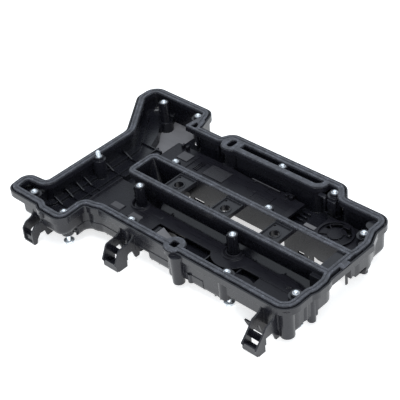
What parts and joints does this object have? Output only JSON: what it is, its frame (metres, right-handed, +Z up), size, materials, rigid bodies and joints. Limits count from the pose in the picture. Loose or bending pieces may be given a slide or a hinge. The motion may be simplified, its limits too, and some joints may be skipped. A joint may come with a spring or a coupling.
{
  "type": "valve cover",
  "caption": "Moulded engine valve cover lying sealing side up, with press-in gasket, oil separator plates, coil well, clip brackets and captive flange bolts.",
  "frame": {"origin": "centre of the bounding box at the level of the bracket feet it stands on", "axes": "+X along the cover from the timing end to the other end, +Y from the bracket side to the back, +Z up out of the sealing side"},
  "size_m": [0.4508, 0.3014, 0.0595],
  "materials": {
    "nylon_black": "moulded glass-filled nylon, satin",
    "baffle_nylon": "moulded nylon plate, satin",
    "seal_rubber": "grey acrylate rubber, matt",
    "zinc_steel": "zinc plated",
    "sleeve_steel": "bright steel",
    "spring_steel": "spring wire",
    "membrane_rubber": "fluorosilicone membrane"
  },
  "bodies": {
    "cover": {"cover_housing": "nylon_black", "cover_gasket": "seal_rubber", "front_baffle": "baffle_nylon", "back_baffle": "baffle_nylon", "valve_plate": "baffle_nylon", "valve_cap": "nylon_black", "valve_diaphragm": "membrane_rubber", "valve_clamp_ring": "nylon_black", "valve_spring": "spring_steel", "bolt_sleeves": "sleeve_steel"},
    "bolt_a": {"bolt_a": "zinc_steel"},
    "bolt_b": {"bolt_b": "zinc_steel"},
    "bolt_c": {"bolt_c": "zinc_steel"},
    "bolt_d": {"bolt_d": "zinc_steel"},
    "bolt_e": {"bolt_e": "zinc_steel"},
    "bolt_f": {"bolt_f": "zinc_steel"},
    "bolt_g": {"bolt_g": "zinc_steel"},
    "bolt_h": {"bolt_h": "zinc_steel"},
    "bolt_i": {"bolt_i": "zinc_steel"},
    "bolt_j": {"bolt_j": "zinc_steel"},
    "bolt_k": {"bolt_k": "zinc_steel"},
    "bolt_l": {"bolt_l": "zinc_steel"},
    "bolt_m": {"bolt_m": "zinc_steel"},
    "bolt_n": {"bolt_n": "zinc_steel"},
    "bolt_o": {"bolt_o": "zinc_steel"}
  },
  "joints": [
    {"name": "bolt_a_slide", "type": "slide", "parent": "cover", "child": "bolt_a", "axis": [0, 0, 1], "range_m": [0, 0.0105]},
    {"name": "bolt_b_slide", "type": "slide", "parent": "cover", "child": "bolt_b", "axis": [0, 0, 1], "range_m": [0, 0.0105]},
    {"name": "bolt_c_slide", "type": "slide", "parent": "cover", "child": "bolt_c", "axis": [0, 0, 1], "range_m": [-0.006, 0.0045]},
    {"name": "bolt_d_slide", "type": "slide", "parent": "cover", "child": "bolt_d", "axis": [0, 0, 1], "range_m": [0, 0.0105]},
    {"name": "bolt_e_slide", "type": "slide", "parent": "cover", "child": "bolt_e", "axis": [0, 0, 1], "range_m": [0, 0.0105]},
    {"name": "bolt_f_slide", "type": "slide", "parent": "cover", "child": "bolt_f", "axis": [0, 0, 1], "range_m": [0, 0.0105]},
    {"name": "bolt_g_slide", "type": "slide", "parent": "cover", "child": "bolt_g", "axis": [0, 0, 1], "range_m": [0, 0.0105]},
    {"name": "bolt_h_slide", "type": "slide", "parent": "cover", "child": "bolt_h", "axis": [0, 0, 1], "range_m": [0, 0.0105]},
    {"name": "bolt_i_slide", "type": "slide", "parent": "cover", "child": "bolt_i", "axis": [0, 0, 1], "range_m": [0, 0.0105]},
    {"name": "bolt_j_slide", "type": "slide", "parent": "cover", "child": "bolt_j", "axis": [0, 0, 1], "range_m": [0, 0.0105]},
    {"name": "bolt_k_slide", "type": "slide", "parent": "cover", "child": "bolt_k", "axis": [0, 0, 1], "range_m": [0, 0.0105]},
    {"name": "bolt_l_slide", "type": "slide", "parent": "cover", "child": "bolt_l", "axis": [0, 0, 1], "range_m": [0, 0.0105]},
    {"name": "bolt_m_slide", "type": "slide", "parent": "cover", "child": "bolt_m", "axis": [0, 0, 1], "range_m": [0, 0.0105]},
    {"name": "bolt_n_slide", "type": "slide", "parent": "cover", "child": "bolt_n", "axis": [0, 0, 1], "range_m": [0, 0.0105]},
    {"name": "bolt_o_slide", "type": "slide", "parent": "cover", "child": "bolt_o", "axis": [0, 0, 1], "range_m": [0, 0.0105]}
  ]
}
